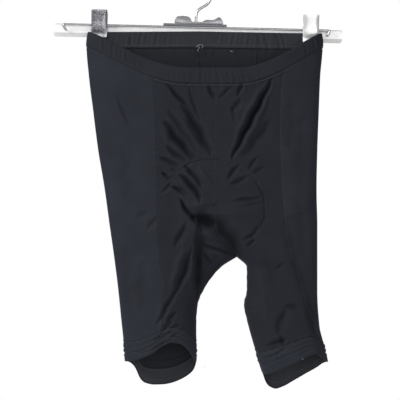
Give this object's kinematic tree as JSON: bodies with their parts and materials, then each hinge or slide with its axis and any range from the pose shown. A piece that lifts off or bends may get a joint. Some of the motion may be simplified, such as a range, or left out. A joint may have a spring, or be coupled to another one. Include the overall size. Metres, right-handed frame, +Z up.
{
  "type": "cycling shorts on clip hanger",
  "caption": "Tight knee-length sports shorts with a seat pad, hung by the back of the waistband from a metal clip hanger with a swivel hook.",
  "frame": {"origin": "inside of the hook's crown, where the hanger hangs on its rail", "axes": "+Z up, -Y towards the viewer of the shorts' front, +X to the viewer's right along the hanger's bar"},
  "size_m": [0.4063, 0.0624, 0.581],
  "materials": {
    "lycra": "fine stretch knit, slight sheen",
    "waist_elastic": "matte knitted elastic",
    "gripper": "ribbed elastic tape",
    "pad_cloth": "soft brushed knit over foam",
    "bar_finish": "polished, almost white",
    "chrome": "polished",
    "dark_steel": "dark satin"
  },
  "bodies": {
    "root": {"front_panel_left": "lycra", "front_panel_right": "lycra", "side_panel_left": "lycra", "side_panel_right": "lycra", "back_panel_left": "lycra", "back_panel_right": "lycra", "waistband": "waist_elastic", "hem_left": "lycra", "hem_right": "lycra", "leg_gripper_left": "gripper", "leg_gripper_right": "gripper", "seat_pad": "pad_cloth", "hanger_bar": "bar_finish", "clip_wire": "chrome", "hook": "chrome", "hook_bracket": "chrome", "hook_plate": "dark_steel", "clip_left_front": "chrome", "clip_left_back": "chrome", "clip_right_front": "chrome", "clip_right_back": "chrome", "clip_spring_left": "dark_steel", "clip_spring_right": "dark_steel"}
  },
  "joints": []
}
